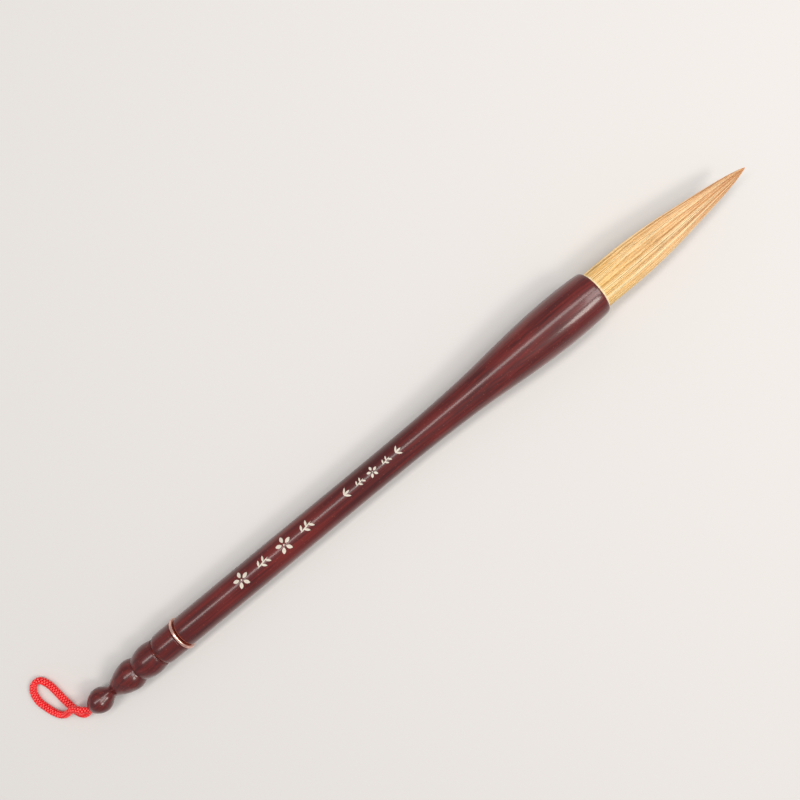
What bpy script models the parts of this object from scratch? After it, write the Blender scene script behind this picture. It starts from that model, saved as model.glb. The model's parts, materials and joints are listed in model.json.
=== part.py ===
"""Calligraphy brush lying on a table, its hair towards +X and its hanging cord at the -X end.

Metres, +Z up. The origin is on the table, under the middle of the brush. The turned pieces are drawn
along the brush's own axis, from its knob end (0) to the tip of its hair, and the axis is tilted so that
the brush rests on its tail ring and on the widest part of its flared head.
"""

import math

import bmesh
import bpy

MM = 0.001
SIDES = 24
GAP = 0.3 * MM

# Lengths along the brush's axis, from the knob's end.
TIP = 289.8 * MM
MOUTH = 223.7 * MM
CUP_FLOOR = 205.3 * MM
SHAFT_END = 41.4 * MM
RING_START = 40.0 * MM
RING_WIDTH = 1.1 * MM
TENON_END = 55.0 * MM
CORD_HOLE_DEPTH = 6.8 * MM

# Radii.
HEAD_RADIUS = 8.9 * MM
HEAD_AT = 209.6 * MM
RING_RADIUS = 6.12 * MM
RING_AT = RING_START + RING_WIDTH / 2
CUP_RADIUS = 7.2 * MM
TENON_RADIUS = 3.0 * MM
CORD_HOLE_RADIUS = 2.1 * MM
DRILL_POINT = 0.7 * MM
SOCKET_POINT = 1.2 * MM
CUP_FLOOR_RISE = 0.4 * MM
CUP_FLOOR_ROUND = 0.6 * MM

# The flexing hair is cut at three hinges. Each moving length starts in a dome, inside a hollow of the
# length before it. The lip is how far behind the hinge the hollow opens, and the shoulder's margin
# keeps the two apart at the end of the bend.
BELLY_HINGE = 229.5 * MM
WAIST_HINGE = 246.0 * MM
POINT_HINGE = 262.5 * MM
BELLY_BEND = math.radians(30)
WAIST_BEND = math.radians(35)
POINT_BEND = math.radians(45)
HOLLOW_LIP = 1.2 * MM
SHOULDER_MARGIN = 1.1 * MM
SHOULDER_STEP = 0.97
SHOULDER_STEP_AT = 0.55
HAIR_START = 209.9 * MM
OUTER_HAIR_END = 281.0 * MM

# Each layer's outer and inner face, as (share of the tuft's radius, inset). The core has no inner face.
PADDING_SHARE = 0.78
CORE_SHARE = 0.5
OUTER_HAIR = ((1.0, 0.0), (PADDING_SHARE, 0.0))
PADDING_HAIR = ((PADDING_SHARE, GAP), (CORE_SHARE, 0.0))
CORE_HAIR = ((CORE_SHARE, GAP), None)

# The braided cord: both ends leave the knob, one above the other, and turn about the pivot.
CORD_RADIUS = 1.3 * MM
CORD_STEP = 1.2 * MM
CORD_SPREAD = 1.4 * MM
PIVOT_OUT = 1.9 * MM

# The axis rests on a flat of the head and a flat of the ring.
FLAT = math.cos(math.pi / SIDES)
TILT = math.asin((HEAD_RADIUS - RING_RADIUS) * FLAT / (HEAD_AT - RING_AT))
AXIS_START_X = -TIP * math.cos(TILT) / 2
AXIS_START_Z = (RING_RADIUS * FLAT - RING_AT * math.sin(TILT)) / math.cos(TILT)

# Turned outlines as (distance along the axis, radius), in millimetres.
HEAD_OUTLINE = [
    (223.7, 7.9), (223.4, 8.2), (222.8, 8.42), (221.0, 8.55), (216.4, 8.78), (209.6, 8.9),
    (202.8, 8.75), (196.0, 8.42), (189.2, 7.95), (182.4, 7.37), (175.6, 6.78), (168.8, 6.33),
    (162.0, 6.03), (155.2, 5.77), (146.0, 5.55), (130.0, 5.42), (110.0, 5.42), (85.0, 5.52),
    (60.0, 5.52), (42.0, 5.52), (41.4, 5.25),
]
TAIL_OUTLINE = [
    (39.7, 5.5), (39.4, 5.7), (36.0, 5.72), (32.8, 5.62), (31.6, 5.38), (31.2, 5.05), (30.7, 4.75),
    (30.2, 4.75), (29.9, 4.95), (29.0, 5.3), (27.8, 5.65), (26.4, 5.8), (25.0, 5.68), (23.4, 5.3),
    (22.0, 4.75), (21.6, 4.55), (21.3, 4.3), (20.9, 4.45), (20.3, 4.8), (19.4, 5.2), (18.2, 5.48),
    (17.0, 5.42), (15.6, 5.1), (14.2, 4.7), (12.9, 4.15), (11.6, 3.5), (10.5, 2.85), (9.6, 2.45),
    (8.7, 2.33), (7.8, 2.55), (6.8, 3.15), (5.8, 3.85), (4.9, 4.3), (3.9, 4.5), (2.8, 4.42),
    (1.7, 4.05), (0.8, 3.4), (0.2, 2.65), (0.0, 2.3),
]
TUFT_OUTLINE = [
    (205.0, 6.75), (223.7, 6.8), (231.0, 6.98), (239.0, 6.97), (247.2, 6.6), (255.3, 5.9),
    (263.4, 4.85), (271.5, 3.75), (279.5, 2.55), (284.5, 1.6), (287.6, 0.85), (289.2, 0.35),
    (289.8, 0.0),
]

# The cord's route from the pivot round the loop and back, in millimetres. It lies on the table,
# and its first strand crosses over its last.
CORD_ROUTE = [
    (-147.9, 1.6, 6.95), (-149.3, 3.0, 6.3), (-151.2, 3.85, 5.3), (-153.3, 3.75, 4.15),
    (-155.6, 3.85, 2.6), (-157.6, 4.9, 1.55), (-159.0, 7.2, 1.32), (-159.9, 9.9, 1.32),
    (-160.6, 13.0, 1.32), (-160.3, 16.1, 1.32), (-159.3, 18.1, 1.32), (-157.6, 19.2, 1.32),
    (-155.6, 18.7, 1.32), (-154.4, 16.4, 1.32), (-153.9, 14.2, 1.32), (-153.6, 10.7, 1.32),
    (-153.3, 7.2, 1.32), (-153.0, 4.7, 1.32), (-152.6, 2.5, 1.4), (-151.8, 0.8, 1.75),
    (-150.2, -0.4, 2.6), (-148.4, -0.6, 3.6),
]


def clear_scene():
    for old in list(bpy.data.objects):
        bpy.data.objects.remove(old, do_unlink=True)


def new_collection(name):
    made = bpy.data.collections.new(name)
    bpy.context.scene.collection.children.link(made)
    return made


def linear(channel):
    return channel / 12.92 if channel <= 0.04045 else ((channel + 0.055) / 1.055) ** 2.4


def finish(name, colour, roughness, metallic=0.0):
    """A Principled BSDF material from an sRGB hex colour."""
    made = bpy.data.materials.new(name)
    made.use_nodes = True
    shader = made.node_tree.nodes["Principled BSDF"]
    rgb = [linear(int(colour[i:i + 2], 16) / 255) for i in (0, 2, 4)]
    shader.inputs["Base Color"].default_value = (*rgb, 1.0)
    shader.inputs["Roughness"].default_value = roughness
    shader.inputs["Metallic"].default_value = metallic
    made.diffuse_color = (*rgb, 1.0)
    return made


def empty(name, parent=None, along=0.0):
    """A holder for what turns together, this far along its parent's own axis."""
    made = bpy.data.objects.new(name, None)
    made.empty_display_size = 5 * MM
    brush.objects.link(made)
    made.parent = parent
    made.location = (0.0, 0.0, along)
    return made


def turned(name, outline, material, holder, start=0.0, collection=None):
    """A piece turned about its holder's axis. The outline's (along, radius) points run down its outer
    side. Where both its ends aren't on the axis it is a ring, and the outline is closed."""
    mesh = bpy.data.meshes.new(name)
    outline = [(u - start, r) for u, r in outline]
    edges = [(i, i + 1) for i in range(len(outline) - 1)]
    if outline[0][1] > 0:
        edges.append((len(outline) - 1, 0))
    mesh.from_pydata([(r, 0.0, u) for u, r in outline], edges, [])
    piece = bpy.data.objects.new(name, mesh)
    (collection or brush).objects.link(piece)
    piece.parent = holder
    piece.rotation_euler.z = math.pi / SIDES
    screw = piece.modifiers.new("turn", "SCREW")
    screw.axis = "Z"
    screw.steps = screw.render_steps = SIDES
    screw.use_merge_vertices = True
    screw.merge_threshold = 0.01 * MM
    screw.use_smooth_shade = True
    mesh.materials.append(material)
    return piece


def in_metres(outline):
    return [(u * MM, r * MM) for u, r in outline]


def tuft_radius(u):
    """The hair's outer radius this far along the axis, straight between the outline's points."""
    points = in_metres(TUFT_OUTLINE)
    for (u0, r0), (u1, r1) in zip(points, points[1:]):
        if u <= u1:
            return r0 + (r1 - r0) * (u - u0) / (u1 - u0)
    return 0.0


def hollow_radius(hinge):
    """The radius of the hollow about a hinge, which meets the hair's outside at the lip."""
    return math.hypot(HOLLOW_LIP, tuft_radius(hinge - HOLLOW_LIP))


def ball_point(hinge, ball, r):
    """The point at radius r from the axis on a ball about a hinge, on the side of the handle."""
    return hinge - math.sqrt(max(ball ** 2 - r ** 2, 0.0)), r


def ball_arc(hinge, ball, r_from, r_to):
    """The ball's outline between two radii from the axis."""
    step = 0.16 * ball
    steps = max(2, round(abs(r_to - r_from) / step))
    return [ball_point(hinge, ball, r_from + (r_to - r_from) * i / steps) for i in range(steps + 1)]


def ball_meets(hinge, ball, face):
    """The radius at which a layer's face meets the ball, found by closing in on it."""
    u = hinge - HOLLOW_LIP
    enough_tries = 12
    for _ in range(enough_tries):
        r = face_radius(u, face)
        u = ball_point(hinge, ball, r)[0]
    return r


def face_radius(u, face):
    share, inset = face
    return tuft_radius(u) * share - inset


def along_face(u_from, u_to, face):
    """A layer's face between two places on the axis, with the tuft outline's own points in between."""
    low, high = sorted((u_from, u_to))
    between = [u for u, _ in in_metres(TUFT_OUTLINE) if low + 0.5 * MM < u < high - 0.5 * MM]
    stops = sorted([low, *between, high], reverse=u_from > u_to)
    return [(u, face_radius(u, face)) for u in stops]


def hair_start(u_top, hinge, bend, outer, inner):
    """A moving length from u_top down its outer face, and round its dome in to its inner face. The outer
    coat is as wide as the hollow, so it steps in to the dome at a shoulder that clears the lip."""
    dome = hollow_radius(hinge) - GAP
    r_inner = ball_meets(hinge, dome, inner) if inner else 0.0
    if outer == OUTER_HAIR[0]:
        shoulder = tuft_radius(hinge) * math.tan(bend / 2) + SHOULDER_MARGIN
        down = along_face(u_top, hinge + shoulder, outer)[1:]
        down.append((hinge + shoulder, math.sqrt(dome ** 2 - shoulder ** 2)))
        step_radius = SHOULDER_STEP * dome
        down += [(hinge + SHOULDER_STEP_AT * shoulder, step_radius), (hinge, dome)]
        return down + ball_arc(hinge, dome, step_radius, r_inner)
    r_outer = ball_meets(hinge, dome, outer)
    down = along_face(u_top, ball_point(hinge, dome, r_outer)[0], outer)[1:-1]
    return down + ball_arc(hinge, dome, r_outer, r_inner)


def hair_length(name, material, holder, layer, start, end, bend):
    """One length of one layer of hair. start is the hinge that it turns about, or None at the root, and
    end is the next hinge, where it is hollowed."""
    outer, inner = layer
    ball = hollow_radius(end)
    r_inner = ball_meets(end, ball, inner) if inner else 0.0
    outline = ball_arc(end, ball, r_inner, ball_meets(end, ball, outer))
    if start is None:
        outline += along_face(outline[-1][0], HAIR_START, outer)[1:]
        outline.append((HAIR_START, face_radius(HAIR_START, inner) if inner else 0.0))
    else:
        outline += hair_start(outline[-1][0], start, bend, outer, inner)
    if inner:
        outline += along_face(outline[-1][0], outline[0][0], inner)[1:-1]
    turned(name, outline, material, holder, start or 0.0)


def shaft():
    """The handle: a blind cup for the hair at its head, and a socket for the tail at its other end."""
    socket_radius = TENON_RADIUS + GAP
    outline = [(CUP_FLOOR - DRILL_POINT, 0.0), (CUP_FLOOR, CUP_RADIUS - CUP_FLOOR_ROUND)]
    outline += [(CUP_FLOOR + CUP_FLOOR_RISE, CUP_RADIUS), (MOUTH, CUP_RADIUS)]
    outline += in_metres(HEAD_OUTLINE)
    outline += [(SHAFT_END, socket_radius), (TENON_END + GAP, socket_radius)]
    outline += [(TENON_END + SOCKET_POINT, 0.0)]
    turned("shaft", outline, dark_lacquer, axis)


def collar_ring():
    """The thin ring held between the shaft and the tail."""
    inside = TENON_RADIUS + GAP
    end = RING_START + RING_WIDTH
    edge = 0.25 * MM
    outline = [(end, inside), (end, RING_RADIUS - edge), (end - edge, RING_RADIUS)]
    outline += [(RING_START + edge, RING_RADIUS), (RING_START, RING_RADIUS - edge), (RING_START, inside)]
    turned("collar_ring", outline, copper, axis)


def tail_finial():
    """The turned tail: a tenon in the shaft, a plain collar, two beads, a neck and the knob."""
    chamfer, hole_edge = 0.4 * MM, 0.25 * MM
    outline = [(TENON_END, 0.0), (TENON_END, TENON_RADIUS - chamfer), (TENON_END - chamfer, TENON_RADIUS)]
    outline += [(RING_START - GAP, TENON_RADIUS)]
    outline += in_metres(TAIL_OUTLINE)
    outline += [(hole_edge, CORD_HOLE_RADIUS), (CORD_HOLE_DEPTH, CORD_HOLE_RADIUS)]
    outline += [(CORD_HOLE_DEPTH + DRILL_POINT, 0.0)]
    turned("tail_finial", outline, dark_lacquer, axis)


def cup_fillings():
    """The bed of glue in the cup, the rosin that seals the hair's cut end, and the thread round the root."""
    glue_radius, seal_depth = CUP_RADIUS - 0.9 * MM, 2.1 * MM
    glue_top, glue_edge = HAIR_START - seal_depth, CUP_FLOOR + DRILL_POINT
    outline = [(glue_top, 0.0), (glue_top, glue_radius), (glue_edge, glue_radius)]
    turned("cup_glue", outline + [(CUP_FLOOR + CUP_FLOOR_RISE, 0.0)], amber, axis)
    seal_at_hair, seal_widest, seal_at_glue, bulge_depth = 6.2 * MM, 6.45 * MM, 6.1 * MM, 1.0 * MM
    seal = [(HAIR_START - GAP, 0.0), (HAIR_START - GAP, seal_at_hair)]
    seal += [(HAIR_START - bulge_depth, seal_widest), (glue_top + GAP, seal_at_glue), (glue_top + GAP, 0.0)]
    turned("root_seal", seal, amber, axis)


def root_binding():
    """Waxed thread wound round the hair's root: turns side by side, drawn as one ring."""
    turns, thread, top = 4, 0.55 * MM, 219.0 * MM
    inside = tuft_radius(top) + 0.05 * MM
    between_turns, over_turn = inside + 0.12 * MM, inside + 0.25 * MM
    wound = [(top, inside)]
    for turn in range(turns):
        wound.append((top - turn * thread, between_turns))
        wound.append((top - (turn + 0.5) * thread, over_turn))
    wound += [(top - turns * thread, between_turns), (top - turns * thread, inside)]
    turned("root_binding", wound, thread_red, axis)


def hair():
    """Three layers of hair, from the root in the cup to the point, cut at the hinges."""
    lengths = [
        ("root", axis, None, BELLY_HINGE, 0.0),
        ("belly", belly, BELLY_HINGE, WAIST_HINGE, BELLY_BEND),
        ("waist", waist, WAIST_HINGE, POINT_HINGE, WAIST_BEND),
    ]
    layers = [
        ("outer_hair", OUTER_HAIR, golden_hair),
        ("padding_hair", PADDING_HAIR, pale_hair),
        ("core_hair", CORE_HAIR, tan_hair),
    ]
    for place, *where in lengths:
        for layer_name, layer, material in layers:
            holder, start, end, bend = where
            hair_length(f"{layer_name}_{place}", material, holder, layer, start, end, bend)


def hair_point():
    """The last length: the outer coat ends short of the tip, and the core alone makes the point."""
    end = OUTER_HAIR_END
    outer, inner = OUTER_HAIR
    outline = [(end, face_radius(end, inner)), (end, face_radius(end, outer))]
    outline += hair_start(end, POINT_HINGE, POINT_BEND, outer, inner)
    outline += along_face(outline[-1][0], end, inner)[1:-1]
    turned("outer_hair_point", outline, golden_hair, point, POINT_HINGE)
    bared = end + GAP
    under_coat = PADDING_HAIR[0]
    core = [(u, r) for u, r in reversed(in_metres(TUFT_OUTLINE)) if u > bared]
    core += [(bared, tuft_radius(bared)), (bared, face_radius(bared, under_coat))]
    core += hair_start(bared, POINT_HINGE, POINT_BEND, under_coat, None)
    turned("core_hair_point", core, tan_hair, point, POINT_HINGE)


def along_route(route, step):
    """Evenly spaced points on a smooth curve through the route's points."""
    ends = [route[0], *route, route[-1]]
    fine, parts = [], 20
    for p0, p1, p2, p3 in zip(ends, ends[1:], ends[2:], ends[3:]):
        for i in range(parts):
            t = i / parts
            fine.append([
                0.5 * (2 * b + (c - a) * t + (2 * a - 5 * b + 4 * c - d) * t ** 2
                       + (3 * b - a - 3 * c + d) * t ** 3)
                for a, b, c, d in zip(p0, p1, p2, p3)
            ])
    fine.append(list(route[-1]))
    lengths = [math.dist(p, q) for p, q in zip(fine, fine[1:])]
    count = round(sum(lengths) / step)
    spaced, passed, i = [], 0.0, 0
    for k in range(count):
        wanted = sum(lengths) * k / count
        while passed + lengths[i] < wanted:
            passed += lengths[i]
            i += 1
        share = (wanted - passed) / lengths[i]
        spaced.append([p + (q - p) * share for p, q in zip(fine[i], fine[i + 1])])
    return spaced + [fine[-1]]


def hanging_cord():
    """The loop of braided cord. Its two ends meet in a round post on the pivot, where the loop swings."""
    x, z = pivot.location.x, pivot.location.z
    upper, lower = (x, 0.0, z + CORD_SPREAD), (x, 0.0, z - CORD_SPREAD)
    route = [upper, *[[c * MM for c in p] for p in CORD_ROUTE], lower]
    points = along_route(route, CORD_STEP)
    line = bpy.data.curves.new("cord_line", "CURVE")
    line.dimensions = "3D"
    spline = line.splines.new("POLY")
    spline.points.add(len(points) - 1)
    for stop, place in zip(spline.points, points):
        stop.co = (place[0] - x, place[1], place[2] - z, 1.0)
    line.bevel_depth = CORD_RADIUS
    line.bevel_resolution = 2
    line.use_fill_caps = True
    guide = bpy.data.objects.new("cord_line", line)
    guide.hide_render = True
    cutters.objects.link(guide)
    bpy.context.view_layer.update()
    tube = bpy.data.meshes.new_from_object(guide.evaluated_get(bpy.context.evaluated_depsgraph_get()))
    bpy.data.objects.remove(guide, do_unlink=True)
    weld(tube)
    cord = bpy.data.objects.new("hanging_cord", tube)
    brush.objects.link(cord)
    cord.parent = pivot
    tube.materials.clear()
    tube.materials.append(cord_red)
    tube.shade_smooth()
    union = cord.modifiers.new("joined ends", "BOOLEAN")
    union.operation = "UNION"
    union.object = pivot_post()


def pivot_post():
    """A round-ended post over the height of both strands, centred on the pivot."""
    angles = [math.radians(degrees) for degrees in (67.5, 45.0, 22.5, 0.0)]
    cap = [(CORD_SPREAD + CORD_RADIUS, 0.0)]
    cap += [(CORD_SPREAD + CORD_RADIUS * math.sin(a), CORD_RADIUS * math.cos(a)) for a in angles]
    outline = cap + [(-height, r) for height, r in reversed(cap)]
    post = turned("pivot_post", outline, cord_red, pivot, 0.0, cutters)
    post.hide_render = True
    post.display_type = "WIRE"
    return post


def weld(mesh):
    made = bmesh.new()
    made.from_mesh(mesh)
    bmesh.ops.remove_doubles(made, verts=made.verts, dist=0.001 * MM)
    bmesh.ops.recalc_face_normals(made, faces=made.faces)
    made.to_mesh(mesh)
    made.free()


def cord_ends():
    """The cord's two ends pressed together in the knob's hole, and the drop of glue that holds them."""
    radius = CORD_HOLE_RADIUS - GAP
    floor_gap, glue_height = 0.1 * MM, 1.3 * MM
    glue_top = CORD_HOLE_DEPTH - floor_gap
    ends_top = glue_top - glue_height
    out, rounding, squeezed = -0.25 * MM, 0.3 * MM, 0.4 * MM
    ends = [(ends_top, 0.0), (ends_top, radius), (out + rounding, radius), (out, radius - squeezed)]
    turned("cord_ends", ends + [(out, 0.0)], cord_red, axis)
    glue = [(glue_top, 0.0), (glue_top, radius), (ends_top + GAP, radius), (ends_top + GAP, 0.0)]
    turned("cord_glue", glue, amber, axis)


clear_scene()
brush = new_collection("calligraphy_brush")
cutters = new_collection("cutters")

dark_lacquer = finish("dark_red_lacquered_wood", "4a1518", 0.28)
copper = finish("copper_ring", "c08070", 0.3, 1.0)
golden_hair = finish("golden_hair", "dca566", 0.55)
pale_hair = finish("pale_hair", "e6c08a", 0.6)
tan_hair = finish("tan_hair", "c98a52", 0.6)
amber = finish("amber_resin", "8a5a2a", 0.35)
thread_red = finish("waxed_thread", "b03a2e", 0.6)
cord_red = finish("braided_red_cord", "e01020", 0.6)

axis = empty("brush_axis")
axis.location = (AXIS_START_X, 0.0, AXIS_START_Z)
axis.rotation_euler.y = math.pi / 2 - TILT
belly = empty("belly_hinge", axis, BELLY_HINGE)
waist = empty("waist_hinge", belly, WAIST_HINGE - BELLY_HINGE)
point = empty("point_hinge", waist, POINT_HINGE - WAIST_HINGE)
pivot = empty("loop_pivot")
pivot.location = (AXIS_START_X - PIVOT_OUT, 0.0, AXIS_START_Z)

shaft()
collar_ring()
tail_finial()
cup_fillings()
root_binding()
hair()
hair_point()
cord_ends()
hanging_cord()
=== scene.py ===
import json
import math

import bpy
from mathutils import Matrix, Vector


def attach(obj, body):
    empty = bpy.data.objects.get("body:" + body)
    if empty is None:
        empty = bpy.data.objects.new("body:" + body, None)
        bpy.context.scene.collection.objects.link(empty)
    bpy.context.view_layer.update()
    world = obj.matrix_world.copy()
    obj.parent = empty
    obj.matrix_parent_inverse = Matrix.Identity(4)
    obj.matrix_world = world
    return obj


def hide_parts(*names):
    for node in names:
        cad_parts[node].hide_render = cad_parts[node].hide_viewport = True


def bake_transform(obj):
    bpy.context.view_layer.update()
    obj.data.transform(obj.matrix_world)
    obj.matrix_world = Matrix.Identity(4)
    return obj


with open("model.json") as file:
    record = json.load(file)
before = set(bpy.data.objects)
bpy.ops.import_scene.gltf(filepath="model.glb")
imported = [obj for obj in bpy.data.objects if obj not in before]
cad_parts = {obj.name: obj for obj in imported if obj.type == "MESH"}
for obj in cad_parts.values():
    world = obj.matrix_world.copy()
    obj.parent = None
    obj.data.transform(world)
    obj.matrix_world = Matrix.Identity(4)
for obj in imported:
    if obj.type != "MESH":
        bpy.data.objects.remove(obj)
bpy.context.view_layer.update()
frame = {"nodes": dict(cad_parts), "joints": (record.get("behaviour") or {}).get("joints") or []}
scene = bpy.context.scene
mm = 0.001

# The brush's own axis runs from the knob's end towards the tip of the hair.
hinges = {joint["name"]: Vector(joint["pos_m"]) for joint in frame["joints"]}
bellyFromKnob = 229.5 * mm  # from the knob's end to the first hinge in the hair
alongBrush = (hinges["point_bend"] - hinges["belly_bend"]).normalized()
acrossBrush = Vector((0, 1, 0))
upBrush = alongBrush.cross(acrossBrush)
knobEnd = hinges["belly_bend"] - alongBrush * bellyFromKnob
print("frame loaded")


def onBrush(along, across=0.0, up=0.0):
    # a place given in mm along, across and above the brush's axis
    return knobEnd + (alongBrush * along + acrossBrush * across + upBrush * up) * mm


def linearColour(hexColour, alpha=1.0):
    values = [int(hexColour[i:i + 2], 16) / 255 for i in (1, 3, 5)]
    return (*[v / 12.92 if v <= 0.04045 else ((v + 0.055) / 1.055) ** 2.4 for v in values], alpha)


def addNode(tree, kind, settings=None, values=None, links=None, stops=None):
    # values and links go to sockets, and stops are a colour ramp's places and colours
    node = tree.nodes.new(kind)
    for name, value in (settings or {}).items():
        setattr(node, name, value)
    for socket, value in (values or {}).items():
        node.inputs[socket].default_value = value
    for socket, source in (links or {}).items():
        tree.links.new(source, node.inputs[socket])
    if stops:
        ramp = node.color_ramp.elements
        while len(ramp) > 1:
            ramp.remove(ramp[-1])
        ramp[0].position, ramp[0].color = stops[0][0], linearColour(stops[0][1])
        for place, colour in stops[1:]:
            ramp.new(place).color = linearColour(colour)
    return node


def curveThrough(points, steps):
    # a Catmull-Rom curve through the points, with so many steps from each to the next
    ends = [points[0] * 2 - points[1], *points, points[-1] * 2 - points[-2]]
    fine = []
    for a, b, c, d in zip(ends, ends[1:], ends[2:], ends[3:]):
        for t in [i / steps for i in range(steps)]:
            fine.append(0.5 * (2 * b + (c - a) * t + (2 * a - 5 * b + 4 * c - d) * t ** 2
                               + (3 * b - a - 3 * c + d) * t ** 3))
    return [*fine, points[-1]]


def newMaterial(name):
    material = bpy.data.materials.new(name)
    material.use_nodes = True
    return material, material.node_tree, material.node_tree.nodes["Principled BSDF"]


def keep(piece, body, slot, *nodes):
    # the finished piece moves with its body and stands for the plain solids
    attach(piece, body)
    if nodes:
        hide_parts(*nodes)


# Camera: straight above, with the brush on the frame's rising diagonal.
viewFrom = {"place": (4.7, 13.9, 246.0), "turn": -39.65, "lens": 31.32}
camera = bpy.data.objects.new("camera", bpy.data.cameras.new("camera"))
scene.collection.objects.link(camera)
camera.location = Vector(viewFrom["place"]) * mm
camera.rotation_euler = (0, 0, math.radians(viewFrom["turn"]))
camera.data.lens = viewFrom["lens"]
camera.data.sensor_width = 36
camera.data.clip_start = 0.01
scene.camera = camera
print("camera set")


# Hanging cord: polyester filament, braided round.
cord = {
    # mm: whole diameter, length of one turn of a strand, radii of the strands' layer, a strand and the core
    "diameter": 2.6, "lead": 4.0, "layer": 0.79, "strand": 0.35, "core": 0.72,
    "weave": 0.17,  # mm that a strand goes over and under the others
    "bundles": 4, "sides": 6, "seed": 3,  # strands each way round, and sides of a strand
    "step": 0.22, "pathStep": 0.5,  # mm between a strand's rings, and between the path's points
    # in the knob: mm of each end, mm from the hole's middle to an end, and its share of full thickness,
    # which it comes back to over so many mm outside
    "inHole": 5.2, "offMiddle": 1.0, "squeeze": 0.78, "opensOver": 4.0,
    "turnsWithin": 4.5,  # mm out of the knob, over which the cord goes from still to swinging
    "filaments": 2600,  # a metre
    # colour of the humps; painted shade for the gaps between strands; a pale painted highlight for each
    # hump's crown
    "colour": "#ea0312", "shade": "#6c0007", "paintedGlint": "#ff7e76", "roughness": 0.36,
}
# The centre line lies along the route of the plain cord: out of the knob's hole, over its own other end,
# round the loop on the table, and back into the hole under itself.
cordRoute = [
    (-144.9, 0.0, 6.42), (-146.5, 0.75, 6.65), (-147.9, 1.7, 6.7), (-149.3, 2.95, 6.2), (-151.2, 3.8, 5.25),
    (-153.3, 3.75, 4.1), (-155.6, 3.85, 2.6), (-157.6, 4.9, 1.6), (-159.0, 7.2, 1.34),
    (-159.9, 9.9, 1.32), (-160.6, 13.0, 1.32), (-160.3, 16.1, 1.32), (-159.3, 18.1, 1.32),
    (-157.6, 19.2, 1.32), (-155.6, 18.7, 1.32), (-154.4, 16.4, 1.32), (-153.9, 14.2, 1.32),
    (-153.6, 10.7, 1.32), (-153.3, 7.2, 1.32), (-153.0, 4.7, 1.32), (-152.6, 2.5, 1.4),
    (-151.8, 0.8, 1.75), (-150.2, -0.4, 2.6), (-148.4, -0.6, 3.5), (-146.6, -0.25, 4.2), (-144.9, 0.0, 4.42),
]


def smoothLine(points, step):
    # even steps along a smooth curve through the points
    fine = curveThrough([Vector(p) for p in points], 24)
    lengths = [0.0]
    for p, q in zip(fine, fine[1:]):
        lengths.append(lengths[-1] + (q - p).length)
    count = max(2, round(lengths[-1] / step))
    line, i = [], 0
    for k in range(count + 1):
        wanted = min(lengths[-1] * k / count, lengths[-1] - 1e-9)
        while lengths[i + 1] < wanted:
            i += 1
        line.append(fine[i].lerp(fine[i + 1], (wanted - lengths[i]) / (lengths[i + 1] - lengths[i])))
    return line, lengths[-1]


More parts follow.
